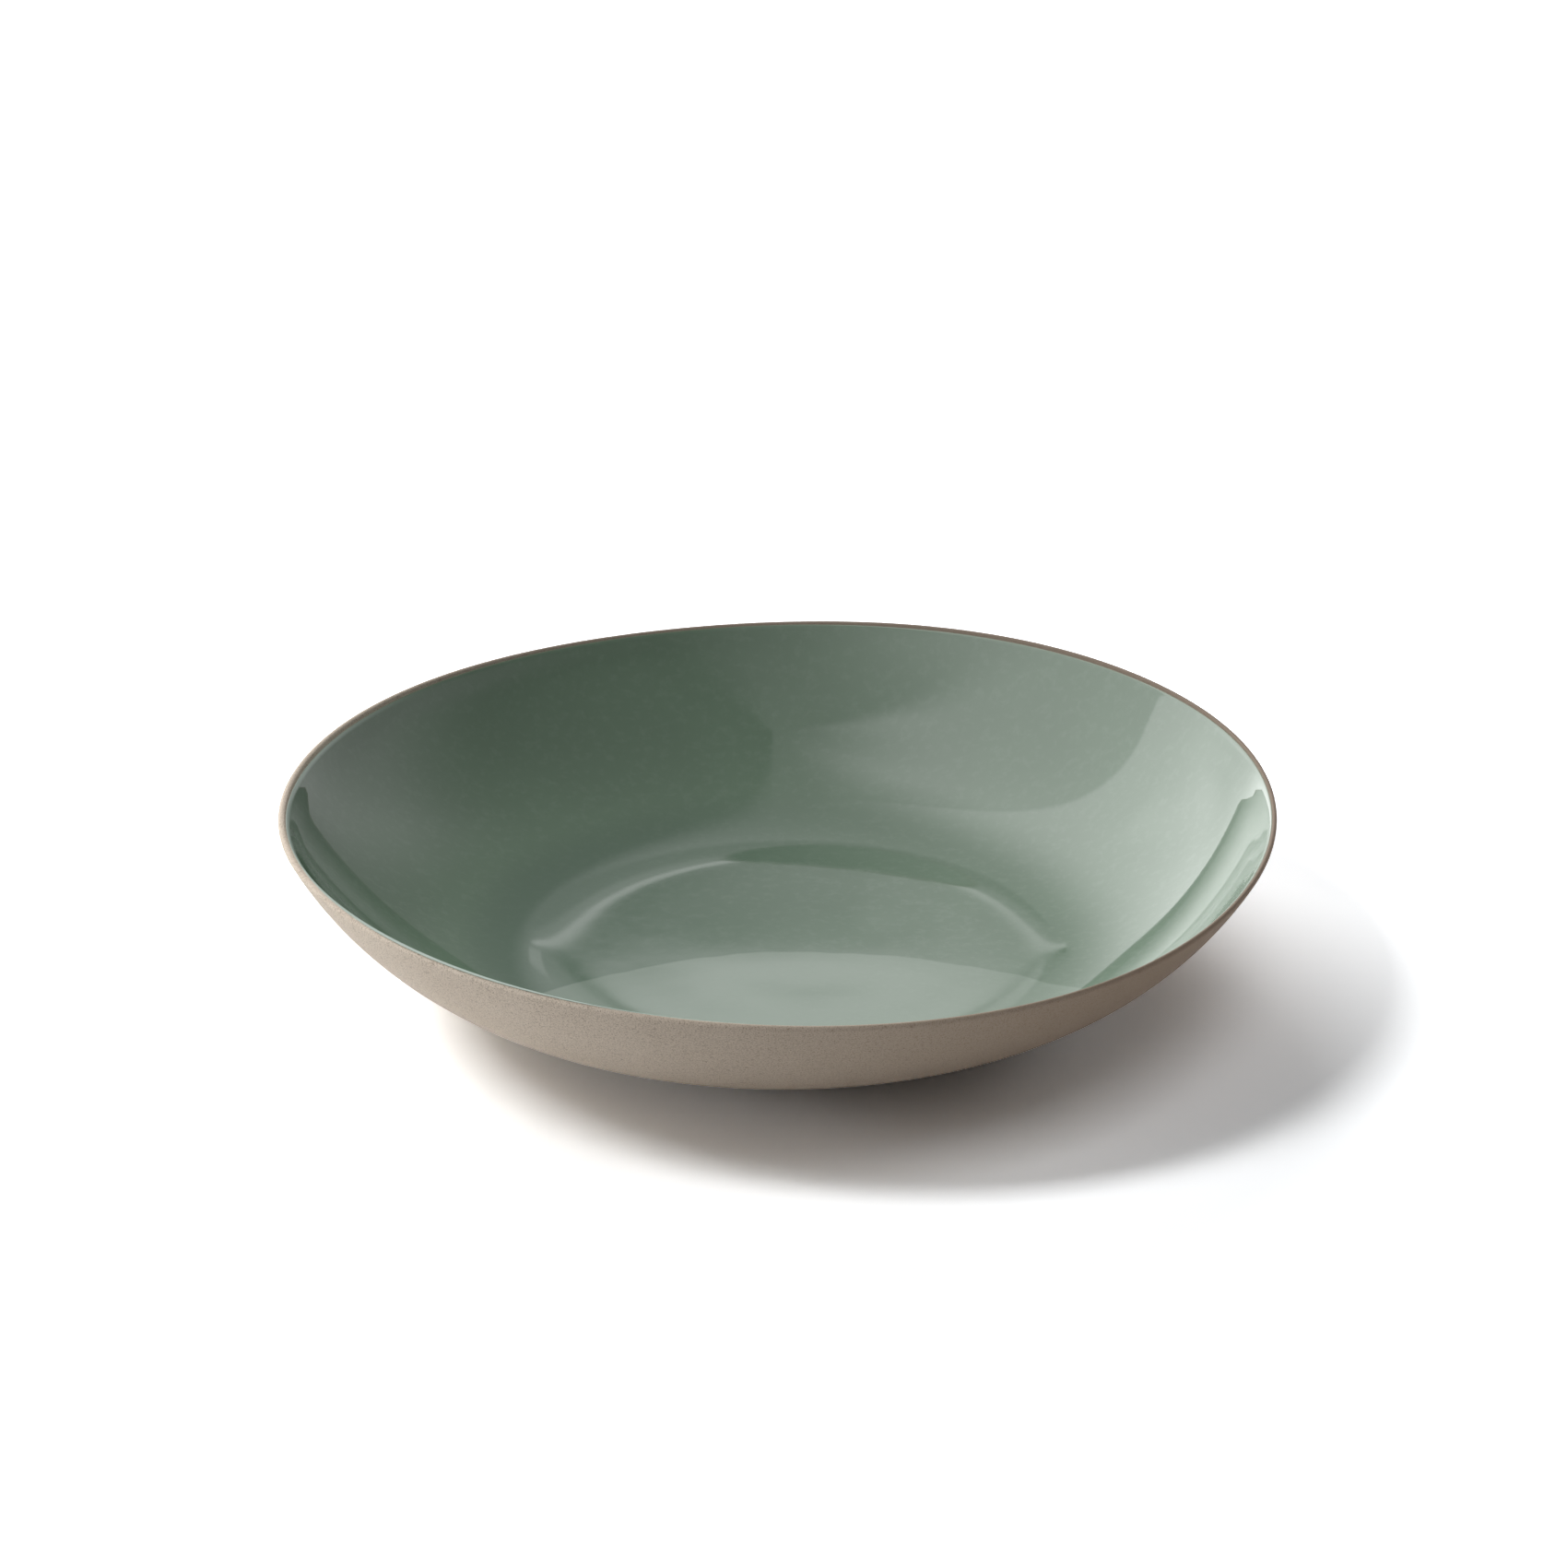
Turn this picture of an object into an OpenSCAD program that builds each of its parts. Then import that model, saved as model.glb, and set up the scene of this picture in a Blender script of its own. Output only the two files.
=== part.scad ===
// Deep plate: a hand-made coupe dish of bare stoneware, glazed on its inside only.
// It is three parts of one fired piece: the clay dish, the ring of clay that it stands on,
// and the coat of glaze that lines it up to the lip.
// Z points up, Y points away from the diner, and the origin is at the middle of the face
// that rests on the table. The rim isn't true: it sways up and down and leaves the circle
// a little, as a rim made by hand does, and this fades out down the wall.

/* [Dish] */
// Diameter of the dish over its rim
rim_d = 230; // [200:1:270]
// Mean height of the rim above the table
rim_h = 43; // [36:1:58]
// Diameter of the flat underside, where the curve of the outer wall starts
base_d = 100; // [84:1:116]
// Diameter of the level floor of clay inside, where the curve of the inner wall starts
well_d = 100; // [84:1:116]
// Thickness of the clay in the floor
floor_t = 4; // [3:0.1:6]
// Thickness of the rounded lip of bare clay
lip_t = 1.6; // [1.2:0.1:2.4]

/* [Hand-made rim] */
// How far the rim rises and dips from its mean height, twice on the way round
rim_sway = 2.1; // [0:0.1:4]
// Direction of the first high place, anticlockwise from +X
sway_turn = 38; // [0:1:180]
// How far the rim bulges out of its circle, three times on the way round
rim_lobe = 0.5; // [0:0.1:2]
// Direction of the first bulge, anticlockwise from +X
lobe_turn = 11; // [0:1:120]
// How far the rim is drawn out into an oval
rim_oval = 0.3; // [0:0.1:2]
// Direction of the long axis of the oval, anticlockwise from +X
oval_turn = 145; // [0:1:180]

/* [Foot] */
// Height of the foot ring, from the table to the flat underside
foot_h = 4; // [3:0.1:6]
// Width of the clay in the foot ring
foot_w = 5; // [4:0.1:8]
// Distance from the edge of the flat underside in to the foot ring
foot_inset = 1; // [0.5:0.1:4]
// Radius of the worn edges of the foot ring, next to the table
foot_edge_r = 1; // [0.4:0.1:1.6]

/* [Glaze] */
// Thickness of the coat of glaze
glaze_t = 0.5; // [0.3:0.05:1]
// Bare clay between the round of the lip and the edge of the glaze
glaze_stop = 0.3; // [0.1:0.1:3]
// Length over which the glaze rounds off to nothing at its edge
glaze_bead = 1.5; // [0.8:0.1:4]

/* [Smoothness] */
// Facets round the dish
round_facets = 96; // [48:12:108]
// Facets up each wall
wall_facets = 14; // [8:1:16]
// Facets over the lip
lip_facets = 7; // [4:1:8]
// Facets over the edge of the glaze
bead_facets = 4; // [3:1:6]

/* [Hidden] */

rim_r = rim_d / 2;
base_r = base_d / 2;
well_r = well_d / 2;
lip_r = lip_t / 2;
floor_z = foot_h + floor_t;

// The lip is a round whose centre lies its radius inside the rim's edge and its top.
lip_x = rim_r - lip_r;
lip_z = rim_h - lip_r;

// The outer wall is one arc. It leaves the flat underside level and runs into the lip's
// round from outside, and both conditions together give its radius.
outer_run = lip_x - base_r;
outer_rise = lip_z - foot_h;
outer_r = (pow(outer_run, 2) + pow(outer_rise, 2) - pow(lip_r, 2)) / (2 * (outer_rise - lip_r));
outer_end = atan2(outer_run, outer_r - outer_rise);

// The inner wall is one arc too. It leaves the floor level and runs into the lip's round
// from inside.
inner_run = lip_x - well_r;
inner_rise = lip_z - floor_z;
inner_r = (pow(inner_run, 2) + pow(inner_rise, 2) - pow(lip_r, 2)) / (2 * (inner_rise + lip_r));
inner_end = atan2(inner_run, inner_r - inner_rise);

// The glaze ends a little way down the inner wall, and thins out over its bead.
degrees_a_turn = 360;
glaze_end = inner_end - glaze_stop / (PI * inner_r) * degrees_a_turn / 2;
bead_turn = glaze_bead / (PI * inner_r) * degrees_a_turn / 2;
bead_start = glaze_end - bead_turn;

// A station is a point of a section: its radius, its height, and its share of the rim's
// hand-made sway, which grows from none at the start of the wall to all at the rim.
function arc_station(start_r, start_z, arc_r, turn, inset) =
    let (height = start_z + arc_r - (arc_r - inset) * cos(turn))
    let (span = rim_h - start_z)
    [start_r + (arc_r - inset) * sin(turn), height, max(0, height - start_z - inset) / span];

function outer_station(turn) = arc_station(base_r, foot_h, outer_r, turn, 0);

function inner_station(turn, inset = 0) = arc_station(well_r, floor_z, inner_r, turn, inset);

function lip_station(turn) =
    [lip_x + lip_r * cos(turn), lip_z + lip_r * sin(turn), 1];

// How thick the glaze is at a turn of the inner wall, over its rounded edge
function bead_t(turn) = glaze_t * sqrt(max(0, 1 - pow((turn - bead_start) / bead_turn, 2)));

outer_wall = [for (i = [0:wall_facets]) outer_station(outer_end * i / wall_facets)];

lip_first = outer_end - 90;
lip_sweep = 90 + inner_end - lip_first;
lip_round = [for (i = [1:lip_facets - 1]) lip_station(lip_first + lip_sweep * i / lip_facets)];

// The clay under the glaze, from the glaze's edge down to the floor. The dish and the
// glaze share these stations, so that they meet face to face.
glazed_wall = [for (i = [wall_facets:-1:0]) inner_station(glaze_end * i / wall_facets)];

glaze_face = [for (i = [0:wall_facets]) inner_station(bead_start * i / wall_facets, glaze_t)];

glaze_edge = [
    for (i = [1:bead_facets - 1])
    let (turn = bead_start + bead_turn * sin(90 * i / bead_facets))
    inner_station(turn, bead_t(turn))
];

dish_section = concat(outer_wall, lip_round, [inner_station(inner_end)], glazed_wall);
glaze_section = concat(glaze_face, glaze_edge, glazed_wall);

// The rim's own shape: how far it leaves its circle and its mean height in a direction
function rim_out(turn) =
    rim_lobe * cos(3 * (turn - lobe_turn)) + rim_oval * cos(2 * (turn - oval_turn));

function rim_up(turn) = rim_sway * cos(2 * (turn - sway_turn));

function placed(station, turn) =
    let (radius = station[0] + station[2] * rim_out(turn))
    [radius * cos(turn), radius * sin(turn), station[1] + station[2] * rim_up(turn)];

// Points of a closed shell: the section's stations, ring after ring, and then the middle
// of its first and of its last ring
function shell_points(section) = concat(
    [
        for (station = section)
        for (j = [0:round_facets - 1])
        placed(station, degrees_a_turn * j / round_facets)
    ],
    [[0, 0, section[0][1]], [0, 0, section[len(section) - 1][1]]]
);

function ring_point(ring, j) = ring * round_facets + j % round_facets;

function shell_faces(section) =
    let (last = len(section) - 1)
    let (first_middle = len(section) * round_facets)
    let (last_middle = first_middle + 1)
    concat(
        [
            for (ring = [0:last - 1])
            for (j = [0:round_facets - 1])
            each [
                [ring_point(ring, j), ring_point(ring + 1, j + 1), ring_point(ring, j + 1)],
                [ring_point(ring, j), ring_point(ring + 1, j), ring_point(ring + 1, j + 1)]
            ]
        ],
        [
            for (j = [0:round_facets - 1])
            [first_middle, ring_point(0, j), ring_point(0, j + 1)]
        ],
        [
            for (j = [0:round_facets - 1])
            [last_middle, ring_point(last, j + 1), ring_point(last, j)]
        ]
    );

function turned_over(faces) = [for (face = faces) [face[0], face[2], face[1]]];

// The clay dish, from the flat underside over the lip to the floor
module stoneware_body() {
    color("#a8998a")
    polyhedron(points = shell_points(dish_section), faces = shell_faces(dish_section));
}

// Half of the foot ring's section, with round edges next to the table
module foot_section() {
    outer_edge = base_r - foot_inset;
    translate([outer_edge - foot_w, foot_edge_r])
    square([foot_w, foot_h - foot_edge_r]);
    translate([outer_edge - foot_w + foot_edge_r, 0])
    square([foot_w - 2 * foot_edge_r, foot_edge_r]);
    for (edge_x = [outer_edge - foot_w + foot_edge_r, outer_edge - foot_edge_r])
    translate([edge_x, foot_edge_r])
    circle(r = foot_edge_r, $fn = 32);
}

// The ring of clay that the dish stands on
module foot_ring() {
    color("#9c8d7e")
    rotate_extrude($fn = round_facets)
    foot_section();
}

// The coat of glaze over the floor and up the inner wall
module inner_glaze() {
    color("#75907f")
    polyhedron(
        points = shell_points(glaze_section),
        faces = turned_over(shell_faces(glaze_section))
    );
}

stoneware_body();
foot_ring();
inner_glaze();
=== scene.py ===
"""A deep plate of bare stoneware, glazed on its inside, in a plain studio.

The plate is three parts of one fired piece. The clay dish, the ring of clay that it stands on
and the coat of glaze that lines it are each drawn as a section and spun about the upright
axis. The dish and the coat are then given the small faults of a rim made by hand. Everything
is in metres, Z up, with the origin in the middle of the face that rests on the table.
"""

from __future__ import annotations

import logging
import math
from collections.abc import Mapping, Sequence
from dataclasses import dataclass, field, replace
from enum import Enum
from typing import Any

import bpy
import numpy as np
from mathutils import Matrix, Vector

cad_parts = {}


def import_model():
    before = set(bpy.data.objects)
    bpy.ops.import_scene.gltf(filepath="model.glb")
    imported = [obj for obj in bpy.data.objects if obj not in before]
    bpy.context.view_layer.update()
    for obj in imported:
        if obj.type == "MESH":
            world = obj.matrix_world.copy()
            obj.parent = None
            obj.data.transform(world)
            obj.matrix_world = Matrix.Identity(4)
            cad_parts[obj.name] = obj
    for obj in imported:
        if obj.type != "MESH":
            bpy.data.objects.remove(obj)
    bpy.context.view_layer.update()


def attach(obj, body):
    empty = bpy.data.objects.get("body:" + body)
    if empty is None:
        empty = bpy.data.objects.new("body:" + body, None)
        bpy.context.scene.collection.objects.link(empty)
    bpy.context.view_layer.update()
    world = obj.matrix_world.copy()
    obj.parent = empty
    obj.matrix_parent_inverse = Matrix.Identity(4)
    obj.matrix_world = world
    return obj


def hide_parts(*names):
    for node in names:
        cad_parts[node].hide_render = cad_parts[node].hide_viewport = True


MM = 0.001
BODY = "root"
REACH = "reach"
LAYERS = ("sway", REACH, "inward", "drift")
WELD = 0.001 * MM
SMOOTH_ANGLE = math.radians(50)
# The mean of a noise
MIDDLE = 0.5

log = logging.getLogger("deep_plate")

Colour = tuple[float, float, float]


def srgb(red: int, green: int, blue: int) -> Colour:
    """Turn a colour as a screen shows it into linear light.

    Args:
        red: Red from 0 to 255.
        green: Green from 0 to 255.
        blue: Blue from 0 to 255.

    Returns:
        The colour in linear light.
    """

    def linear(value: int) -> float:
        """Turn one of its channels into linear light."""
        share = value / 255
        return share / 12.92 if share <= 0.04045 else ((share + 0.055) / 1.055) ** 2.4

    return linear(red), linear(green), linear(blue)


def deselect_all() -> None:
    """Leave nothing selected, because an operator acts on all that is."""
    if bpy.context.object and bpy.context.object.mode != "OBJECT":
        bpy.ops.object.mode_set(mode="OBJECT")
    bpy.ops.object.select_all(action="DESELECT")


# ---- shader nodes written as arithmetic


@dataclass(frozen=True)
class Band:
    """A stretch of values over which something comes in smoothly, up to a share, or goes."""

    low: float
    high: float
    share: float = 1.0


@dataclass(frozen=True)
class Grain:
    """A noise: the size of its features, its finer layers and how strong those are."""

    size: float
    layers: float = 2.0
    rough: float = 0.5


class Feed:
    """An output socket of a node, with Python's operators for the Math node."""

    def __init__(self, bench: Bench, socket: bpy.types.NodeSocket) -> None:
        """Keep a socket and the bench whose tree it belongs to."""
        self.bench = bench
        self.socket = socket

    def __add__(self, other: Feed | float) -> Feed:
        """Add to it."""
        return self.bench.math("ADD", self, other)

    def __radd__(self, other: float) -> Feed:
        """Add it to a number."""
        return self.bench.math("ADD", other, self)

    def __sub__(self, other: Feed | float) -> Feed:
        """Take away from it."""
        return self.bench.math("SUBTRACT", self, other)

    def __rsub__(self, other: float) -> Feed:
        """Take it away from a number."""
        return self.bench.math("SUBTRACT", other, self)

    def __mul__(self, other: Feed | float) -> Feed:
        """Multiply it."""
        return self.bench.math("MULTIPLY", self, other)

    def __rmul__(self, other: float) -> Feed:
        """Multiply a number by it."""
        return self.bench.math("MULTIPLY", other, self)

    def __truediv__(self, other: Feed | float) -> Feed:
        """Divide it."""
        return self.bench.math("DIVIDE", self, other)


class Bench:
    """A node tree that nodes are laid out in."""

    def __init__(self, tree: bpy.types.NodeTree) -> None:
        """Empty the tree and work in it."""
        self.tree = tree
        tree.nodes.clear()

    def node(
        self,
        kind: str,
        settings: Mapping[str, Any] | None = None,
        sockets: Mapping[str | int, Any] | None = None,
    ) -> bpy.types.Node:
        """Add a node.

        Args:
            kind: The node's type, such as ShaderNodeTexNoise.
            settings: Its own settings by name, set first.
            sockets: Values or feeds for its input sockets, by name or number.

        Returns:
            The new node.
        """
        node = self.tree.nodes.new(kind)
        for name, value in (settings or {}).items():
            setattr(node, name, value)
        for name, value in (sockets or {}).items():
            if isinstance(value, Feed):
                self.tree.links.new(value.socket, node.inputs[name])
            else:
                node.inputs[name].default_value = value
        return node

    def out(self, node: bpy.types.Node, name: str | int = 0) -> Feed:
        """Take a feed from one of a node's outputs."""
        return Feed(self, node.outputs[name])

    def math(self, operation: str, *values: Feed | float) -> Feed:
        """Work out one Math node."""
        node = self.node("ShaderNodeMath", {"operation": operation}, dict(enumerate(values)))
        return self.out(node)

    def mix(self, share: Feed | float, first: Any, second: Any) -> Feed:
        """Mix two colours.

        Args:
            share: How much of the second colour there is, from 0 to 1.
            first: A colour or a feed of one.
            second: A colour or a feed of one.

        Returns:
            The mixed colour.
        """
        rgba = [value if isinstance(value, Feed) else (*value, 1.0) for value in (first, second)]
        sockets = {0: share, 6: rgba[0], 7: rgba[1]}
        return self.out(self.node("ShaderNodeMix", {"data_type": "RGBA"}, sockets), 2)

    def _ramp(self, value: Feed, band: Band, first: float, last: float) -> Feed:
        """Go smoothly from one number to another as a value crosses a band.

        Args:
            value: The value.
            band: The band that it crosses.
            first: The number below the band.
            last: The number above the band.

        Returns:
            The number.
        """
        sockets = {"Value": value, "From Min": band.low, "From Max": band.high}
        sockets |= {"To Min": first, "To Max": last}
        settings = {"interpolation_type": "SMOOTHSTEP", "clamp": True}
        return self.out(self.node("ShaderNodeMapRange", settings, sockets))

    def rise(self, value: Feed, band: Band) -> Feed:
        """Rise from 0 to the band's share."""
        return self._ramp(value, band, 0.0, band.share)

    def fall(self, value: Feed, band: Band) -> Feed:
        """Fall from the band's share to 0."""
        return self._ramp(value, band, band.share, 0.0)

    def noise(self, place: Feed, grain: Grain) -> Feed:
        """Lay noise over a surface.

        Args:
            place: The coordinates that it lies on.
            grain: What the noise is like.

        Returns:
            The noise, whose mean is MIDDLE.
        """
        sockets = {"Vector": place, "Scale": 1 / grain.size}
        sockets |= {"Detail": grain.layers, "Roughness": grain.rough}
        return self.out(self.node("ShaderNodeTexNoise", None, sockets), "Fac")


def new_material(name: str) -> tuple[bpy.types.Material, Bench]:
    """Make a material with an empty tree.

    Args:
        name: The material's name.

    Returns:
        The material and a bench for its nodes.
    """
    material = bpy.data.materials.new(name)
    material.use_nodes = True
    return material, Bench(material.node_tree)


# ---- finishes


@dataclass(frozen=True)
class StonewareFinish:
    """Bare fired clay: fine sandy grain, pale and dark specks, and a darker, greyer lip.

    The clay is painted darker and warmer on the right, a painted shade of the side away from the
    key lamp.
    """

    name: str = "bare stoneware"
    clay: Colour = srgb(209, 196, 180)
    pale: Colour = srgb(226, 214, 199)
    # painted shade: the colour of the clay's shaded right side
    shaded_clay: Colour = srgb(142, 121, 102)
    darker_lip: Colour = srgb(124, 112, 101)
    speck: Colour = srgb(136, 120, 103)
    cloud_grain: Grain = Grain(16 * MM, 3.0)
    sand_grain: Grain = Grain(0.32 * MM, 3.0, 0.65)
    fleck_grain: Grain = Grain(1.1 * MM, 1.0)
    clouds: Band = Band(0.3, 0.7, 0.35)
    pale_sand: Band = Band(0.5, 0.66, 0.8)
    dark_sand: Band = Band(0.34, 0.5, 0.7)
    flecks: Band = Band(0.66, 0.74, 0.4)
    # where the painted shade on the right side comes in, with a wavering edge
    right_shade: Band = Band(-70 * MM, 110 * MM, 0.9)
    right_shade_stray: float = 20 * MM
    lip: Band = Band(0.8 * MM, 2.4 * MM)
    # how the lip's darker band grows towards the back right
    lip_back_right: Band = Band(-90 * MM, 40 * MM, 0.6)
    least_lip_darkening: float = 0.25
    back_weight: float = 0.8
    sand_relief: float = 0.6
    relief_strength: float = 0.6
    relief_depth: float = 0.1 * MM
    roughness: float = 0.72
    roughness_spread: float = 0.25
    ior: float = 1.45
    specular: float = 0.35

    def material(self) -> bpy.types.Material:
        """Build the material.

        Returns:
            The material.
        """
        material, bench = new_material(self.name)
        place = bench.out(bench.node("ShaderNodeTexCoord"), "Object")
        reach = bench.out(bench.node("ShaderNodeAttribute", {"attribute_name": REACH}), "Fac")
        cloud = bench.noise(place, self.cloud_grain)
        sand = bench.noise(place, self.sand_grain)
        fleck = bench.noise(place, self.fleck_grain)
        colour = bench.mix(bench.rise(cloud, self.clouds), self.clay, self.pale)
        colour = bench.mix(bench.rise(sand, self.pale_sand), colour, self.pale)
        colour = bench.mix(bench.fall(sand, self.dark_sand), colour, self.speck)
        colour = bench.mix(bench.rise(fleck, self.flecks), colour, self.speck)
        sides = bench.node("ShaderNodeSeparateXYZ", None, {"Vector": place})
        right, away = bench.out(sides, "X"), bench.out(sides, "Y")
        # painted shade: the right side of the clay darker and warmer
        right_shade_share = bench.rise(right + (cloud - MIDDLE) * self.right_shade_stray, self.right_shade)
        colour = bench.mix(right_shade_share, colour, self.shaded_clay)
        # a darker, greyer band along the bare lip: a quarter of it all round, more towards the
        # back right
        back_right_share = bench.rise(right + away * self.back_weight, self.lip_back_right)
        lip_darkening = bench.fall(reach, self.lip) * (self.least_lip_darkening + back_right_share)
        colour = bench.mix(lip_darkening, colour, self.darker_lip)
        height = sand * self.sand_relief + fleck * (1 - self.sand_relief)
        relief = {"Strength": self.relief_strength, "Distance": self.relief_depth}
        bump = bench.node("ShaderNodeBump", None, relief | {"Height": height})
        sockets = {
            "Base Color": colour,
            "Roughness": self.roughness + (sand - MIDDLE) * self.roughness_spread,
            "Normal": bench.out(bump),
            "IOR": self.ior,
            "Specular IOR Level": self.specular,
        }
        shader = bench.node("ShaderNodeBsdfPrincipled", None, sockets)
        bench.node("ShaderNodeOutputMaterial", None, {"Surface": bench.out(shader)})
        return material


@dataclass(frozen=True)
class GlazeFinish:
    """Glossy sage glaze in darker clouds and paler mottles, with painted shade and reflections.

    The left of the well floor is darker: painted shade, as of the left wall's shadow. It is paler
    at the front of the well, inside an edge that is part of a wide circle: a painted reflection
    that draws the front edge of the dark crescent. It is paler on the wall in the front right
    corner, a painted reflection too. Near its own edge it is thin, and there a pale bead, a
    painted highlight, shows most at the front left.
    """

    name: str = "sage glaze"
    sage: Colour = srgb(108, 129, 110)
    deep: Colour = srgb(104, 124, 106)
    thin: Colour = srgb(149, 164, 151)
    # paler glaze colour of the painted reflections
    reflection_pale: Colour = srgb(162, 175, 163)
    # colour of the painted highlight on the glaze's bead
    bead: Colour = srgb(190, 206, 196)
    # colour of the painted shade on the left of the well floor
    well_shade: Colour = srgb(84, 103, 89)
    edge: Colour = srgb(118, 126, 104)
    cloud_grain: Grain = Grain(30 * MM)
    clouds: Band = Band(0.35, 0.65, 0.5)
    mottle_grain: Grain = Grain(2.4 * MM, 3.0, 0.6)
    mottles: Band = Band(0.45, 0.75, 0.12)
    wall_foot: Band = Band(9.5 * MM, 14 * MM)
    well_shade_across: Band = Band(-70 * MM, 60 * MM, 0.75)
    # the wavy circle inside which the front of the well is painted paler, the dark crescent's
    # front edge
    crescent_edge_centre: tuple[float, float] = (9 * MM, -97 * MM)
    crescent_edge: Band = Band(90.5 * MM, 91.5 * MM, 0.3)
    crescent_edge_grain: Grain = Grain(16 * MM, 1.0)
    crescent_edge_stray: float = 5 * MM
    # where the painted reflection on the wall in the front right corner lies
    corner_heading: tuple[float, float] = (0.83, -0.555)
    corner: Band = Band(79 * MM, 90 * MM)
    corner_side: Band = Band(40 * MM, 75 * MM, 0.9)
    front_left: Band = Band(-110 * MM, 0.0)
    bead_highlight_width: Band = Band(0.42 * MM, 1.4 * MM, 0.8)
    edge_width: Band = Band(0.05 * MM, 0.45 * MM)
    edge_share: float = 0.6
    edge_loss: float = 0.5
    ripple_grain: Grain = Grain(9 * MM, 1.0)
    ripple_strength: float = 0.3
    ripple_depth: float = 0.005 * MM
    roughness: float = 0.035
    roughness_spread: float = 0.02
    ior: float = 1.5

    def material(self) -> bpy.types.Material:
        """Build the material.

        Returns:
            The material.
        """
        material, bench = new_material(self.name)
        place = bench.out(bench.node("ShaderNodeTexCoord"), "Object")
        reach = bench.out(bench.node("ShaderNodeAttribute", {"attribute_name": REACH}), "Fac")
        sides = bench.node("ShaderNodeSeparateXYZ", None, {"Vector": place})
        right, away, up = (bench.out(sides, axis) for axis in "XYZ")
        cloud = bench.noise(place, self.cloud_grain)
        mottle = bench.noise(place, self.mottle_grain)
        colour = bench.mix(bench.rise(cloud, self.clouds), self.sage, self.deep)
        colour = bench.mix(bench.rise(mottle, self.mottles), colour, self.thin)
        # painted shade: the left of the well floor darker, as under the left wall's shadow
        low = bench.fall(up, self.wall_foot)
        colour = bench.mix(low * bench.fall(right, self.well_shade_across), colour, self.well_shade)
        # painted reflection: paler glaze at the front of the well, inside a wavy circle that draws
        # the dark crescent's front edge
        stray = (bench.noise(place, self.crescent_edge_grain) - MIDDLE) * self.crescent_edge_stray
        across, along = right - self.crescent_edge_centre[0], away + stray - self.crescent_edge_centre[1]
        apart = bench.math("SQRT", across * across + along * along)
        colour = bench.mix(low * bench.fall(apart, self.crescent_edge), colour, self.reflection_pale)
        # painted reflection: paler glaze on the wall in the front right corner
        out = right * self.corner_heading[0] + away * self.corner_heading[1]
        corner = bench.rise(out, self.corner) * bench.rise(right, self.corner_side)
        colour = bench.mix(corner, colour, self.reflection_pale)
        # painted highlight: a pale line along the glaze's bead, mostly at the front left
        left = bench.fall(right + away, self.front_left)
        colour = bench.mix(bench.fall(reach, self.bead_highlight_width) * left, colour, self.bead)
        edge = bench.fall(reach, self.edge_width) * (self.edge_share - left * self.edge_loss)
        colour = bench.mix(edge, colour, self.edge)
        ripple = {"Strength": self.ripple_strength, "Distance": self.ripple_depth}
        ripple["Height"] = bench.noise(place, self.ripple_grain)
        bump = bench.node("ShaderNodeBump", None, ripple)
        sockets = {
            "Base Color": colour,
            "Roughness": self.roughness + (mottle - MIDDLE) * self.roughness_spread,
            "Normal": bench.out(bump),
            "IOR": self.ior,
        }
        shader = bench.node("ShaderNodeBsdfPrincipled", None, sockets)
        bench.node("ShaderNodeOutputMaterial", None, {"Surface": bench.out(shader)})
        return material


# ---- the plate's form


@dataclass(frozen=True)
class Station:
    """A point of a section, and how much of each of the plate's faults it takes.

    Its reach is how far it is from the edge of the glaze along the surface. It is below 0 on
    the glaze's hidden back.
    """

    radius: float
    height: float
    sway: float = 0.0
    reach: float = 1.0
    inward: float = 0.0
    drift: float = 0.0


@dataclass(frozen=True)
class WallArc:
    """The arc that a wall follows. It leaves a level face and runs up to the lip."""

    start_radius: float
    start_height: float
    radius: float
    end_turn: float

    def at(self, turn: float, inset: float = 0.0) -> tuple[float, float]:
        """Find a place on the arc, or inset from it.

        Args:
            turn: How far round the arc it is, in radians.
            inset: How far inside the arc it is.

        Returns:
            Its radius and its height.
        """
        across = self.start_radius + (self.radius - inset) * math.sin(turn)
        return across, self.start_height + self.radius - (self.radius - inset) * math.cos(turn)


@dataclass(frozen=True)
class PlateForm:
    """Sizes of the whole plate, which its three parts share."""

    rim_radius: float = 115 * MM
    rim_height: float = 43 * MM
    base_radius: float = 50 * MM
    well_radius: float = 50 * MM
    foot_height: float = 4 * MM
    floor_thickness: float = 4 * MM
    lip_radius: float = 0.8 * MM
    glaze_stop: float = 0.3 * MM
    glaze_thickness: float = 0.3 * MM
    glaze_bead: float = 1.2 * MM

    @property
    def lip_centre(self) -> tuple[float, float]:
        """Radius and height of the middle of the lip's round."""
        return self.rim_radius - self.lip_radius, self.rim_height - self.lip_radius

    def _wall(self, start_radius: float, start_height: float, side: int) -> WallArc:
        """Find the arc that runs from a level face into the lip's round.

        Args:
            start_radius: Where the arc starts.
            start_height: The height of the level face.
            side: 1 for the inner wall and -1 for the outer wall.

        Returns:
            The arc.
        """
        lip_x, lip_z = self.lip_centre
        run, rise = lip_x - start_radius, lip_z - start_height
        square = run**2 + rise**2 - self.lip_radius**2
        radius = square / (2 * (rise + side * self.lip_radius))
        return WallArc(start_radius, start_height, radius, math.atan2(run, radius - rise))

    @property
    def outer_wall(self) -> WallArc:
        """The arc of the bare outside."""
        return self._wall(self.base_radius, self.foot_height, -1)

    @property
    def inner_wall(self) -> WallArc:
        """The arc of the clay under the top of the glaze."""
        return self._wall(self.well_radius, self.foot_height + self.floor_thickness, 1)

    @property
    def glaze_end(self) -> float:
        """How far round the inner wall the glaze ends."""
        wall = self.inner_wall
        return wall.end_turn - self.glaze_stop / wall.radius

    @property
    def bead_start(self) -> float:
        """How far round the inner wall the glaze starts to round off."""
        return self.glaze_end - self.glaze_bead / self.inner_wall.radius


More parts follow.
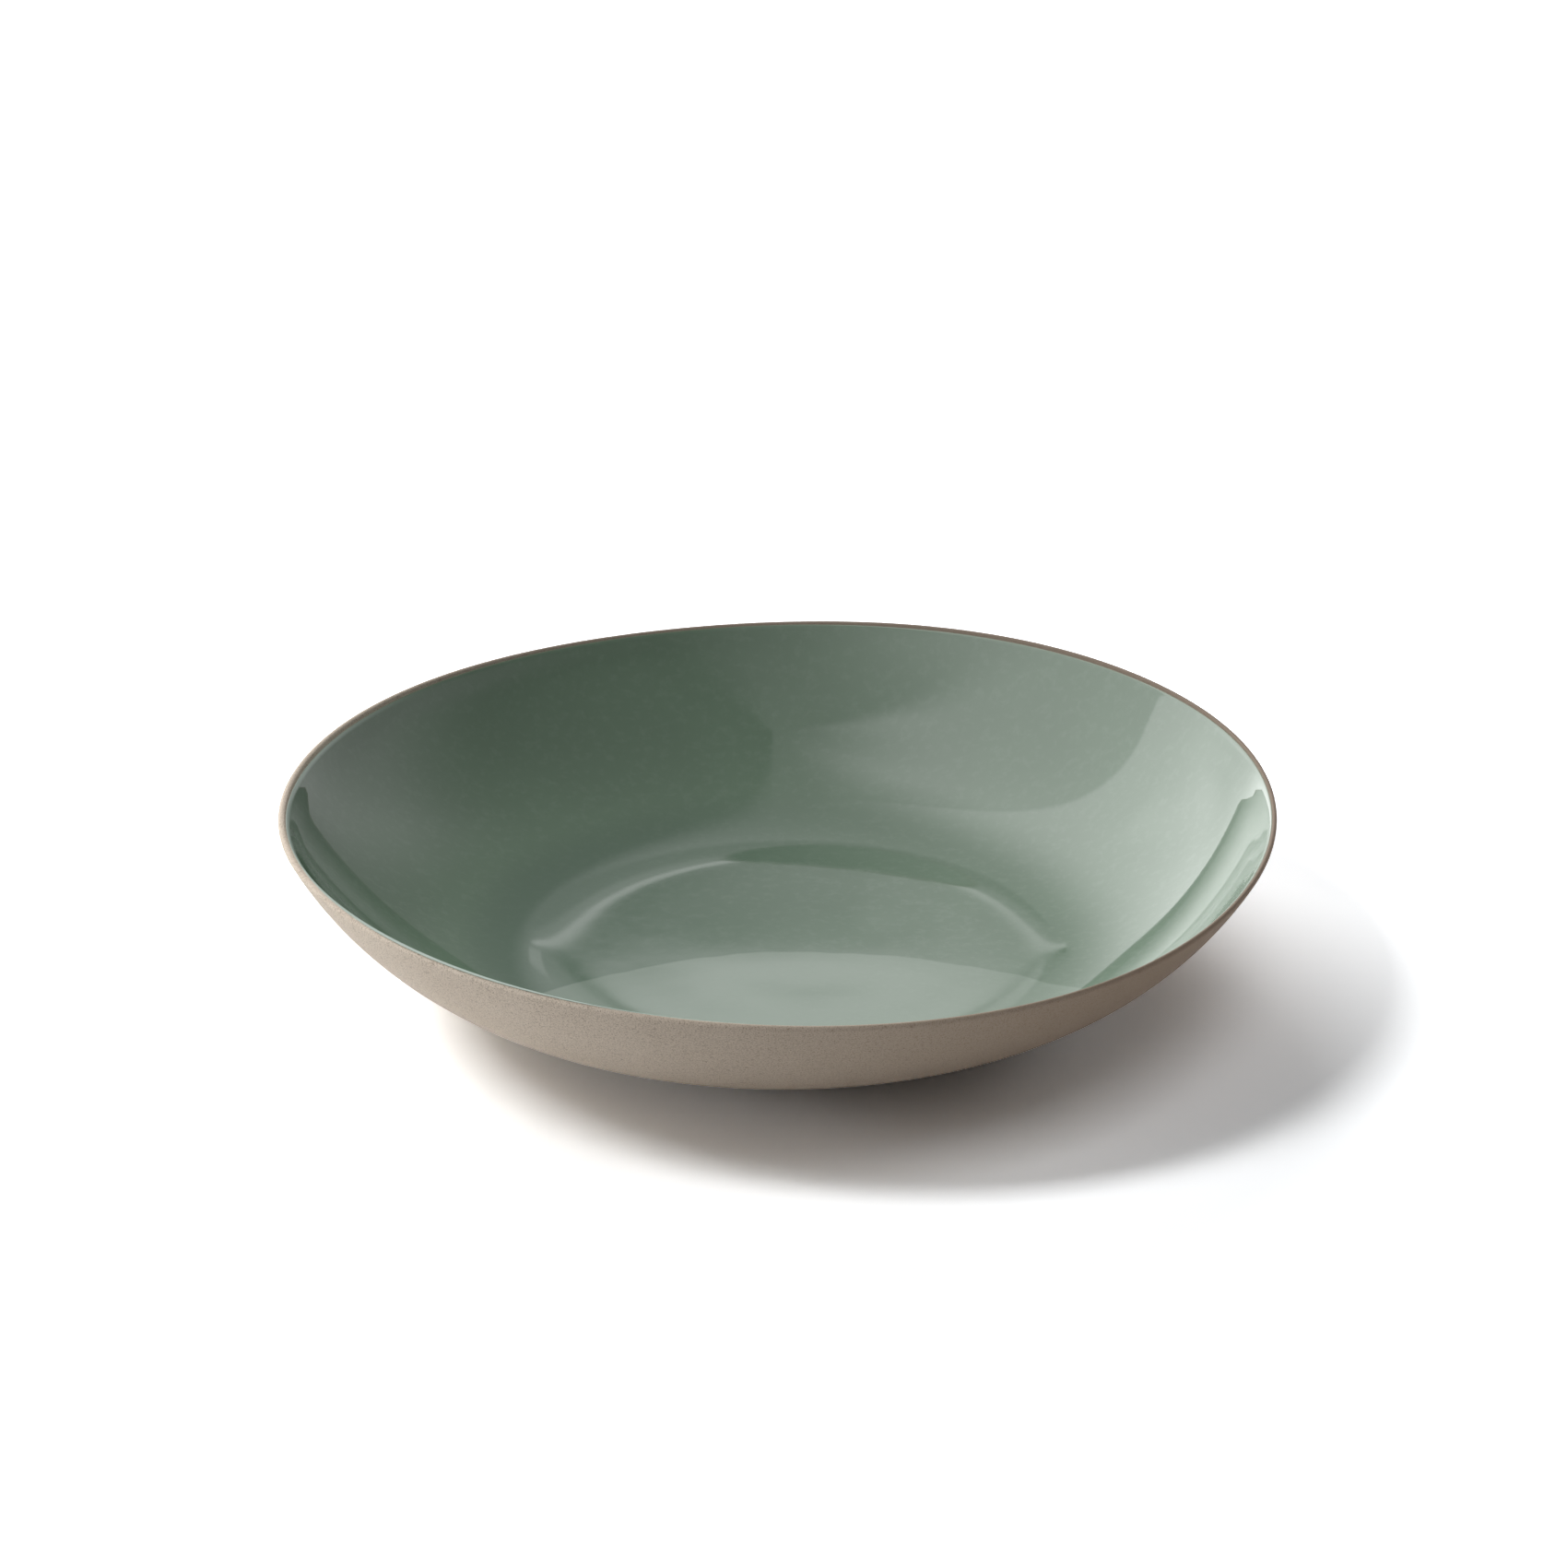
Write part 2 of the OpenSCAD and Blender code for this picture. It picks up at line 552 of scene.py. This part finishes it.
@dataclass(frozen=True)
class WellCurve:
    """The face of the glaze as it was thrown: a level floor, a quick turn and a long wall."""

    form: PlateForm = field(default_factory=PlateForm)
    floor_height: float = 8.77 * MM
    slopes: tuple[tuple[float, float], ...] = (
        (0.0, 0.0),
        (22 * MM, 0.0),
        (32 * MM, 0.17),
        (38 * MM, 0.26),
        (47 * MM, 0.3),
        (52 * MM, 0.45),
        (57 * MM, 1.6),
        (62.1 * MM, 5.2),
        (67.2 * MM, 10.1),
        (72.4 * MM, 15.2),
        (78.6 * MM, 21.2),
    )
    easing: float = 5 * MM
    drift_radius: float = 110 * MM
    easing_samples: int = 21
    fine: float = 0.25 * MM
    spacing: int = 6
    closing_power: int = 3

    def face(self) -> np.ndarray:
        """Draw the face from the axis to the start of the bead.

        Above its given slopes the wall is one arc, which meets the bead.

        Returns:
            Rows of radius, height, slope and distance left to the bead.
        """
        end_x, end_z = self.form.inner_wall.at(self.form.bead_start, self.form.glaze_thickness)
        lengths, slopes = (list(values) for values in zip(*self.slopes))
        slopes = [math.radians(slope) for slope in slopes]
        start_x, start_z = 0.0, self.floor_height
        for i in range(1, len(lengths)):
            step, slope = lengths[i] - lengths[i - 1], (slopes[i] + slopes[i - 1]) / 2
            start_x += step * math.cos(slope)
            start_z += step * math.sin(slope)
        run, rise, slope = end_x - start_x, end_z - start_z, slopes[-1]
        radius = (run**2 + rise**2) / (2 * (rise * math.cos(slope) - run * math.sin(slope)))
        turn = 2 * (math.atan2(rise, run) - slope)
        end = lengths[-1] + radius * turn
        lengths.append(end + self.easing)
        slopes.append(slope + turn + self.easing / radius)
        steps = round(end / self.fine / self.spacing) * self.spacing
        along = np.linspace(0, end, steps + 1)
        shifts = np.linspace(-self.easing / 2, self.easing / 2, self.easing_samples)
        eased = np.mean([np.interp(along + shift, lengths, slopes) for shift in shifts], axis=0)
        middle = (eased[1:] + eased[:-1]) / 2
        across = np.concatenate(([0.0], np.cumsum(np.cos(middle)))) * along[1]
        height = np.concatenate(([0.0], np.cumsum(np.sin(middle)))) * along[1]
        height += self.floor_height
        share = (along / end) ** self.closing_power
        across += (end_x - across[-1]) * share
        height += (end_z - height[-1]) * share
        return np.column_stack((across, height, eased, end - along))[:: self.spacing]

    def stations(self, depth: float = 0.0) -> list[Station]:
        """Turn the face, or a layer at a depth under it, into stations from the axis.

        Args:
            depth: How far under the face the layer lies.

        Returns:
            Its stations. Those of a layer under the face have a reach below 0.
        """
        form = self.form
        under = form.glaze_thickness
        side = -1 if depth else 1
        stations = []
        for radius, height, slope, left in self.face():
            clay_radius = radius + under * math.sin(slope)
            clay_height = height - under * math.cos(slope)
            floor = self.floor_height - under
            share = max(0.0, clay_height - floor) / (form.rim_height - floor)
            drift = max(0.0, 1 - (clay_radius / self.drift_radius) ** 2)
            stations.append(
                Station(
                    radius + depth * math.sin(slope),
                    height - depth * math.cos(slope),
                    share,
                    side * (left + form.glaze_bead),
                    share,
                    drift,
                )
            )
        return stations

    def upper(self, turn: float, inset: float = 0.0, side: int = 1) -> Station:
        """Place a station on the top of the wall, above the start of the bead.

        Args:
            turn: How far round the inner wall it is.
            inset: How far inside the clay it is.
            side: 1 on the face and -1 on the back.

        Returns:
            The station.
        """
        form, wall = self.form, self.form.inner_wall
        floor = self.floor_height - form.glaze_thickness
        share = (wall.at(turn)[1] - floor) / (form.rim_height - floor)
        reach = side * wall.radius * (form.glaze_end - turn)
        return Station(*wall.at(turn, inset), share, reach, share, 0.0)


@dataclass(frozen=True)
class Wave:
    """One wave of a rim made by hand: its number of crests, its size and a crest's turn."""

    count: int
    size: float
    crest: float

    def at(self, turn: np.ndarray) -> np.ndarray:
        """Say how large it is in each direction."""
        return self.size * np.cos(self.count * (turn - math.radians(self.crest)))


def add_waves(waves: Sequence[Wave], turn: np.ndarray) -> np.ndarray:
    """Add up waves in each direction."""
    return sum((wave.at(turn) for wave in waves), np.zeros(len(turn)))


@dataclass(frozen=True)
class HandmadeRim:
    """How the plate leaves its true form. The rim's faults fade out down the wall."""

    rises: tuple[Wave, ...] = (
        Wave(2, 2.1 * MM, 38),
        Wave(1, 0.21 * MM, 111),
        Wave(3, 0.18 * MM, 19.4),
        Wave(4, 0.16 * MM, -39.4),
        Wave(5, 0.1 * MM, -5.6),
    )
    bulges: tuple[Wave, ...] = (
        Wave(3, 0.5 * MM, 11),
        Wave(2, 0.3 * MM, 145),
        Wave(1, 0.44 * MM, 98),
        Wave(5, 0.16 * MM, 12.6),
        Wave(6, 0.09 * MM, 8.7),
    )
    lip_swells: tuple[Wave, ...] = (Wave(0, -0.1 * MM, 0), Wave(1, 0.34 * MM, 180))
    glaze_dips: tuple[Wave, ...] = (
        Wave(0, -0.2 * MM, 0),
        Wave(1, 0.12 * MM, 160),
        Wave(1, 0.45 * MM, 40),
        Wave(2, -0.42 * MM, 42),
        Wave(3, 0.26 * MM, 42),
        Wave(2, 0.13 * MM, 10),
        Wave(3, 0.2 * MM, 60),
    )
    dip_reach: float = 7 * MM
    lip_start: float = 0.3 * MM
    lip_radius: float = 0.8 * MM
    wall_slope: float = math.radians(57)
    well_shift: tuple[float, float] = (8.2 * MM, -6.2 * MM)

    def bend(self, piece: bpy.types.Object, dips: bool = False) -> None:
        """Bend a piece by its stations' shares of each fault.

        Args:
            piece: The spun piece.
            dips: Whether the edge of the glaze dips, as it does on the glaze itself.
        """
        places = read_places(piece)
        sway, reach, inward, drift = (read_layer(piece, label) for label in LAYERS)
        turn = np.arctan2(places[:, 1], places[:, 0])
        radius = np.hypot(places[:, 0], places[:, 1])
        radius = radius + sway * add_waves(self.bulges, turn)
        radius = radius - inward * add_waves(self.lip_swells, turn)
        height = places[:, 2] + sway * add_waves(self.rises, turn)
        if dips:
            near = np.clip(1 - np.abs(reach) / self.dip_reach, 0, 1) ** 2
            slide = near * add_waves(self.glaze_dips, turn)
            radius = radius - slide * math.cos(self.wall_slope)
            height = height - slide * math.sin(self.wall_slope)
            past = np.maximum(-slide - np.abs(reach) - self.lip_start, 0)
            drop = past**2 / (2 * self.lip_radius)
            radius = radius + drop * math.sin(self.wall_slope)
            height = height - drop * math.cos(self.wall_slope)
        across = radius * np.cos(turn) + drift * self.well_shift[0]
        away = radius * np.sin(turn) + drift * self.well_shift[1]
        write_places(piece, np.column_stack((across, away, height)))


def spin_section(name: str, stations: Sequence[Station], steps: int) -> bpy.types.Object:
    """Draw a section by extruding a point, and spin it about the upright axis.

    Args:
        name: The new object's name.
        stations: The section. A closed one ends where it starts, and another one starts
            and ends on the axis.
        steps: How many faces there are round it.

    Returns:
        A closed mesh, with each station's shares kept on its points.
    """
    deselect_all()
    bpy.ops.mesh.primitive_plane_add(size=MM)
    piece = bpy.context.object
    piece.name = name
    bpy.ops.object.mode_set(mode="EDIT")
    bpy.ops.mesh.select_all(action="SELECT")
    bpy.ops.mesh.merge(type="CENTER")
    bpy.ops.transform.translate(value=(stations[0].radius, 0.0, stations[0].height))
    for last, station in zip(stations, stations[1:]):
        step = (station.radius - last.radius, 0.0, station.height - last.height)
        bpy.ops.mesh.extrude_region_move(TRANSFORM_OT_translate={"value": step})
    bpy.ops.object.mode_set(mode="OBJECT")
    for label in LAYERS:
        layer = piece.data.attributes.new(label, "FLOAT", "POINT")
        layer.data.foreach_set("value", [getattr(station, label) for station in stations])
    bpy.ops.object.mode_set(mode="EDIT")
    bpy.ops.mesh.select_all(action="SELECT")
    bpy.ops.mesh.spin(steps=steps, angle=math.tau, center=(0, 0, 0), axis=(0, 0, 1))
    bpy.ops.mesh.select_all(action="SELECT")
    bpy.ops.mesh.remove_doubles(threshold=WELD)
    bpy.ops.mesh.normals_make_consistent(inside=False)
    bpy.ops.object.mode_set(mode="OBJECT")
    return piece


def read_places(piece: bpy.types.Object) -> np.ndarray:
    """Read where a mesh's points are.

    Args:
        piece: The piece.

    Returns:
        One row for each point.
    """
    places = np.empty(len(piece.data.vertices) * 3)
    piece.data.vertices.foreach_get("co", places)
    return places.reshape(-1, 3)


def read_layer(piece: bpy.types.Object, label: str) -> np.ndarray:
    """Read a number that is kept on each point.

    Args:
        piece: The piece.
        label: The name of the numbers' layer.

    Returns:
        One number for each point.
    """
    values = np.empty(len(piece.data.vertices))
    piece.data.attributes[label].data.foreach_get("value", values)
    return values


def write_places(piece: bpy.types.Object, places: np.ndarray) -> None:
    """Move a mesh's points to new places."""
    piece.data.vertices.foreach_set("co", places.ravel())
    piece.data.update()


def smooth(piece: bpy.types.Object) -> None:
    """Shade a piece smooth, except over its sharp edges.

    Args:
        piece: The piece.
    """
    deselect_all()
    piece.select_set(True)
    bpy.context.view_layer.objects.active = piece
    bpy.ops.object.shade_smooth_by_angle(angle=SMOOTH_ANGLE)


def settle(piece: bpy.types.Object, node: str) -> None:
    """Make a piece ride on the body and stand for a CAD node.

    Args:
        piece: The finished piece.
        node: The CAD node that it replaces.
    """
    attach(piece, BODY)
    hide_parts(node)
    log.info("%s: %d points, for %s", piece.name, len(piece.data.vertices), node)


@dataclass
class StonewareDish:
    """The clay dish, from its flat underside over the lip to the floor under the glaze."""

    form: PlateForm = field(default_factory=PlateForm)
    well: WellCurve = field(default_factory=WellCurve)
    rim: HandmadeRim = field(default_factory=HandmadeRim)
    finish: StonewareFinish = field(default_factory=StonewareFinish)
    steps: int = 320
    base_rings: int = 6
    wall_rings: int = 52
    lip_rings: int = 16
    edge_rings: int = 3

    def section(self) -> list[Station]:
        """Draw the section from the middle of the underside to the middle of the floor.

        Returns:
            Its stations.
        """
        form, well = self.form, self.well
        outer, inner = form.outer_wall, form.inner_wall
        lip_x, lip_z = form.lip_centre
        first = outer.end_turn - math.pi / 2
        sweep = math.pi / 2 + inner.end_turn - first
        lip_length = sweep * form.lip_radius + form.glaze_stop
        stations = [
            Station(form.base_radius * i / self.base_rings, form.foot_height)
            for i in range(self.base_rings)
        ]
        for i in range(self.wall_rings + 1):
            turn = outer.end_turn * i / self.wall_rings
            radius, height = outer.at(turn)
            share = (height - form.foot_height) / (form.rim_height - form.foot_height)
            away = lip_length + outer.radius * (outer.end_turn - turn)
            stations.append(Station(radius, height, share, away))
        top = well.upper(inner.end_turn)
        foot_share = stations[-1].sway
        for i in range(1, self.lip_rings):
            share = i / self.lip_rings
            turn = first + sweep * share
            away = form.glaze_stop + form.lip_radius * sweep * (1 - share)
            radius = lip_x + form.lip_radius * math.cos(turn)
            height = lip_z + form.lip_radius * math.sin(turn)
            sway = foot_share + (top.sway - foot_share) * share
            inward = top.inward * (1 - math.cos(math.pi * share)) / 2
            stations.append(Station(radius, height, sway, away, inward))
        stations.append(replace(top, reach=form.glaze_stop))
        for i in range(self.edge_rings):
            turn = form.glaze_end + (form.bead_start - form.glaze_end) * i / self.edge_rings
            stations.append(well.upper(turn, 0.0, -1))
        stations += reversed(well.stations(form.glaze_thickness))
        return stations

    def build(self) -> bpy.types.Object:
        """Model and dress the dish.

        Returns:
            The finished dish.
        """
        piece = spin_section("stoneware_dish", self.section(), self.steps)
        self.rim.bend(piece)
        smooth(piece)
        piece.data.materials.append(self.finish.material())
        settle(piece, "stoneware_body")
        return piece


@dataclass
class ClayFoot:
    """The ring of clay that the dish stands on, blended into the underside."""

    form: PlateForm = field(default_factory=PlateForm)
    finish: StonewareFinish = field(default_factory=StonewareFinish)
    outer_radius: float = 49 * MM
    width: float = 5 * MM
    edge_radius: float = 1 * MM
    fillet: float = 0.7 * MM
    steps: int = 240
    round_rings: int = 6

    def section(self) -> list[Station]:
        """Draw the closed section, from the top of its inner fillet round the bottom.

        Returns:
            Its stations.
        """
        inner_radius = self.outer_radius - self.width
        top, edge = self.form.foot_height, self.edge_radius
        quarter = [math.pi / 2 * i / self.round_rings for i in range(self.round_rings + 1)]
        points = [
            (inner_radius - self.fillet * (1 - math.sin(a)), top - self.fillet * (1 - math.cos(a)))
            for a in quarter
        ]
        points += [
            (inner_radius + edge * (1 - math.cos(a)), edge * (1 - math.sin(a))) for a in quarter
        ]
        points += [(self.outer_radius - self.width / 2, 0.0)]
        points += [
            (self.outer_radius - edge * (1 - math.sin(a)), edge * (1 - math.cos(a)))
            for a in quarter
        ]
        points += [
            (
                self.outer_radius + self.fillet * (1 - math.cos(a)),
                top - self.fillet * (1 - math.sin(a)),
            )
            for a in quarter
        ]
        return [Station(radius, height) for radius, height in (*points, points[0])]

    def build(self) -> bpy.types.Object:
        """Model and dress the foot.

        Returns:
            The finished foot.
        """
        piece = spin_section("clay_foot", self.section(), self.steps)
        smooth(piece)
        piece.data.materials.append(self.finish.material())
        settle(piece, "foot_ring")
        return piece


@dataclass(frozen=True)
class Ripple:
    """One slow wave in the face of the glaze."""

    length: float
    heading: float
    height: float
    start: float

    def lift(self, places: np.ndarray) -> np.ndarray:
        """Say how far the wave lifts each place."""
        along = places[:, 0] * math.cos(self.heading) + places[:, 1] * math.sin(self.heading)
        return self.height * np.sin(math.tau * along / self.length + self.start)


@dataclass
class GlazeCoat:
    """The coat of glaze over the floor and up the inner wall, with its rounded edge."""

    form: PlateForm = field(default_factory=PlateForm)
    well: WellCurve = field(default_factory=WellCurve)
    rim: HandmadeRim = field(default_factory=HandmadeRim)
    finish: GlazeFinish = field(default_factory=GlazeFinish)
    steps: int = 320
    bead_rings: int = 9
    edge_rings: int = 3
    ripple_reach: float = 14 * MM
    ripples: tuple[Ripple, ...] = (
        Ripple(41 * MM, 0.2, 0.00055 * MM, 0.4),
        Ripple(23 * MM, 2.1, 0.0003 * MM, 1.9),
        Ripple(15 * MM, -0.7, 0.00015 * MM, 3.1),
    )

    def section(self) -> list[Station]:
        """Draw the section from the middle of its face over the edge to its back.

        Returns:
            Its stations.
        """
        form, well = self.form, self.well
        bead = form.glaze_end - form.bead_start
        stations = well.stations()
        for i in range(1, self.bead_rings):
            along = math.sin(math.pi / 2 * i / self.bead_rings)
            thick = form.glaze_thickness * math.sqrt(1 - along**2)
            stations.append(well.upper(form.bead_start + bead * along, thick))
        for i in range(self.edge_rings):
            turn = form.glaze_end - bead * i / self.edge_rings
            stations.append(well.upper(turn, 0.0, -1))
        stations += reversed(well.stations(form.glaze_thickness))
        return stations

    def build(self) -> bpy.types.Object:
        """Model and dress the coat.

        Returns:
            The finished coat.
        """
        piece = spin_section("glaze_coat", self.section(), self.steps)
        places = read_places(piece)
        lift = sum((ripple.lift(places) for ripple in self.ripples), np.zeros(len(places)))
        places[:, 2] += lift * np.clip(read_layer(piece, REACH) / self.ripple_reach, 0, 1)
        write_places(piece, places)
        self.rim.bend(piece, dips=True)
        smooth(piece)
        piece.data.materials.append(self.finish.material())
        settle(piece, "inner_glaze")
        return piece


# ---- the studio


@dataclass(frozen=True)
class SoftLamp:
    """A flat soft lamp that looks at the middle of the plate.

    Its level is the light that it lays on a white floor. Only surfaces see it, because the
    glaze mirrors the panels of the surroundings instead.
    """

    name: str
    azimuth: float
    elevation: float
    width: float
    height: float
    level: float
    distance: float = 4.0

    def build(self) -> bpy.types.Object:
        """Hang the lamp.

        Returns:
            The lamp.
        """
        side, up = math.radians(self.azimuth), math.radians(self.elevation)
        toward = Vector(
            (math.sin(side) * math.cos(up), math.cos(side) * math.cos(up), math.sin(up))
        )
        deselect_all()
        bpy.ops.object.light_add(
            type="AREA",
            location=toward * self.distance,
            rotation=toward.to_track_quat("Z", "Y").to_euler(),
        )
        lamp = bpy.context.object
        lamp.name = self.name
        lamp.data.shape = "RECTANGLE"
        lamp.data.size = self.width
        lamp.data.size_y = self.height
        lamp.data.energy = self.level * (math.pi * self.distance) ** 2 / math.sin(up)
        lamp.visible_camera = False
        lamp.visible_glossy = False
        return lamp


@dataclass(frozen=True)
class LampRig:
    """The soft lamps round the plate."""

    lamps: tuple[SoftLamp, ...] = (
        SoftLamp("key_lamp", azimuth=-98, elevation=49, width=0.8, height=1.3, level=0.35),
        SoftLamp("rear_lamp", azimuth=-27, elevation=29, width=2.8, height=2.0, level=0.38),
        SoftLamp("side_lamp", azimuth=-90, elevation=9, width=1.2, height=0.9, level=0.035),
        SoftLamp("right_lamp", azimuth=40, elevation=15, width=2.4, height=1.0, level=0.045),
        SoftLamp("top_lamp", azimuth=145, elevation=70, width=2.6, height=2.2, level=0.15),
    )

    def build(self) -> list[bpy.types.Object]:
        """Hang every lamp."""
        return [lamp.build() for lamp in self.lamps]


class Chart(Enum):
    """How the directions round the plate are laid flat, so that a panel is drawn on them."""

    SKY = "azimuth from +Y towards +X, and elevation, in degrees"
    DOME = "degrees from the zenith towards +X, and towards +Y"
    CARD = "places on an upright card behind the plate, in its distances"
    WALL = "azimuth in degrees, and height on the same card"


@dataclass(frozen=True)
class Span:
    """A stretch of one coordinate, with a soft end at each side.

    Each blur is the whole width of its soft end, half of which lies inside the stretch.
    """

    low: float
    high: float
    low_blur: float = 4.0
    high_blur: float = 4.0

    def cover(self, bench: Bench, value: Feed) -> Feed:
        """Say how much of each value the stretch covers.

        Args:
            bench: The bench of the world's tree.
            value: The coordinate.

        Returns:
            The share, from 0 to 1.
        """
        start = Band(self.low - self.low_blur / 2, self.low + self.low_blur / 2)
        end = Band(self.high - self.high_blur / 2, self.high + self.high_blur / 2)
        return bench.rise(value, start) * bench.fall(value, end)


@dataclass(frozen=True)
class Panel:
    """A soft patch of the studio that the glaze mirrors."""

    level: float
    chart: Chart
    across: Span
    up: Span


@dataclass(frozen=True)
class Surroundings:
    """The studio round the plate: white to the camera, dim to surfaces, panels in the gloss.

    Each panel lies over those before it. The first seven are the broad lights and walls that
    the wall of the plate mirrors, and the others are small steps that the floor of the well
    mirrors, which magnifies them.
    """

    fill: float = 0.04
    dark: float = 0.95
    least_depth: float = 0.02
    panels: tuple[Panel, ...] = (
        Panel(0.3, Chart.SKY, Span(3.5, 165, 5, 40), Span(-12, 95)),
        Panel(1.1, Chart.SKY, Span(28, 190, 20, 4), Span(-12, 38, 4, 24)),
        Panel(3.6, Chart.DOME, Span(-130, -28, 4, 60), Span(-120, 120)),
        Panel(3.9, Chart.SKY, Span(-115, -23, 20, 46), Span(-12, 78, 4, 24)),
        Panel(6.0, Chart.WALL, Span(-100, -38, 10, 76), Span(-0.2, 1.8, 0.1, 0.14)),
        Panel(5.9, Chart.CARD, Span(-2.9, -0.95, 0.5, 0.5), Span(-0.2, 1.03, 0.1, 0.1)),
        Panel(4.2, Chart.SKY, Span(-75, -20, 10, 10), Span(-12, 12, 4, 10)),
        Panel(0.6, Chart.SKY, Span(-0.6, 3.5, 1.2, 2), Span(26.6, 31.5, 1, 3)),
        Panel(2.25, Chart.SKY, Span(-2.6, 2.2, 1.2, 1.4), Span(25.355, 25.72, 0.04, 0.12)),
        Panel(0.8, Chart.SKY, Span(-3.4, 3, 2, 2), Span(24.1, 25.36, 0.6, 0.04)),
        Panel(1.4, Chart.SKY, Span(0.9, 2.6, 0.6, 0.6), Span(23.5, 25.1, 1, 0.2)),
        Panel(0.05, Chart.SKY, Span(-2.4, -0.8, 0.6, 2.8), Span(24.9, 25.36, 0.4, 0.04)),
    )

    def charts(self, bench: Bench, direction: Feed) -> dict[Chart, tuple[Feed, Feed]]:
        """Lay the directions flat in every way.

        Args:
            bench: The bench of the world's tree.
            direction: Directions as unit vectors.

        Returns:
            The two coordinates of each chart.
        """
        parts = bench.node("ShaderNodeSeparateXYZ", None, {"Vector": direction})
        across, away, up = (bench.out(parts, name) for name in "XYZ")
        turn = bench.math("ARCTAN2", across, away)
        azimuth = bench.math("DEGREES", turn)
        elevation = bench.math("DEGREES", bench.math("ARCSINE", up))
        fall = 90 - elevation
        east, north = fall * bench.math("SINE", turn), fall * bench.math("COSINE", turn)
        depth = bench.math("MAXIMUM", away, self.least_depth)
        return {
            Chart.SKY: (azimuth, elevation),
            Chart.DOME: (east, north),
            Chart.CARD: (across / depth, up / depth),
            Chart.WALL: (azimuth, up / depth),
        }

    def build(self) -> None:
        """Light the world."""
        world = bpy.data.worlds.new("studio")
        bpy.context.scene.world = world
        world.use_nodes = True
        world.cycles.sampling_method = "NONE"
        bench = Bench(world.node_tree)
        direction = bench.out(bench.node("ShaderNodeTexCoord"), "Generated")
        charts = self.charts(bench, direction)
        gloss: Feed | float = self.dark
        for panel in self.panels:
            across, up = charts[panel.chart]
            cover = panel.across.cover(bench, across) * panel.up.cover(bench, up)
            gloss = cover * panel.level + (1 - cover) * gloss
        path = bench.node("ShaderNodeLightPath")
        seen = bench.math(
            "MAXIMUM", bench.out(path, "Is Camera Ray"), bench.out(path, "Is Transmission Ray")
        )
        mirrored = bench.out(path, "Is Glossy Ray")
        strength = seen + mirrored * gloss + (1 - seen - mirrored) * self.fill
        background = bench.node("ShaderNodeBackground", None, {"Strength": strength})
        bench.node("ShaderNodeOutputWorld", None, {"Surface": bench.out(background)})


@dataclass(frozen=True)
class PaleFloor:
    """The plain floor, which the picture shows white where no shadow lies.

    Only surfaces see its true colour. Far from the plate it is plain white.
    """

    side: float = 14.0
    drop: float = 0.02 * MM
    colour: Colour = (0.8, 0.8, 0.8)
    seen_colour: Colour = (1.71, 1.74, 1.77)
    plain: Band = Band(0.6, 1.6)

    def build(self) -> bpy.types.Object:
        """Lay the floor.

        Returns:
            The floor.
        """
        deselect_all()
        bpy.ops.mesh.primitive_plane_add(size=self.side)
        floor = bpy.context.object
        floor.name = "studio_floor"
        floor.location.z = -self.drop
        material, bench = new_material("pale floor")
        path = bench.node("ShaderNodeLightPath")
        seen = bench.out(path, "Is Camera Ray")
        for ray in ("Is Glossy Ray", "Is Transmission Ray"):
            seen = bench.math("MAXIMUM", seen, bench.out(path, ray))
        white = bench.mix(seen, self.colour, self.seen_colour)
        shaded = bench.node("ShaderNodeBsdfDiffuse", None, {"Color": white})
        plain = bench.node("ShaderNodeEmission", None, {"Strength": 1.0})
        place = bench.out(bench.node("ShaderNodeTexCoord"), "Object")
        length = bench.node("ShaderNodeVectorMath", {"operation": "LENGTH"}, {0: place})
        share = bench.rise(bench.out(length, "Value"), self.plain) * seen
        sockets = {0: share, 1: bench.out(shaded), 2: bench.out(plain)}
        mixed = bench.node("ShaderNodeMixShader", None, sockets)
        bench.node("ShaderNodeOutputMaterial", None, {"Surface": bench.out(mixed)})
        floor.data.materials.append(material)
        return floor


@dataclass(frozen=True)
class PictureCamera:
    """The camera of the picture, far off and looking down at the plate."""

    place: tuple[float, float, float] = (1.83 * MM, -1261.2 * MM, 603.1 * MM)
    look_down: float = 23.73
    lens: float = 137.2
    sensor_width: float = 36.0
    clip_start: float = 0.05
    clip_end: float = 50.0

    def build(self) -> bpy.types.Object:
        """Set up the camera.

        Returns:
            The camera.
        """
        deselect_all()
        turn = (math.radians(90 - self.look_down), 0.0, 0.0)
        bpy.ops.object.camera_add(location=self.place, rotation=turn)
        camera = bpy.context.object
        camera.name = "picture_camera"
        camera.data.lens = self.lens
        camera.data.sensor_width = self.sensor_width
        camera.data.clip_start = self.clip_start
        camera.data.clip_end = self.clip_end
        bpy.context.scene.camera = camera
        return camera


def main() -> None:
    """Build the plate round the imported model, and the studio round the plate."""
    logging.basicConfig(level=logging.INFO, format="%(name)s: %(message)s")
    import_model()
    PictureCamera().build()
    StonewareDish().build()
    ClayFoot().build()
    GlazeCoat().build()
    PaleFloor().build()
    Surroundings().build()
    LampRig().build()
    bpy.context.scene.view_settings.view_transform = "Standard"


if __name__ == "__main__":
    main()
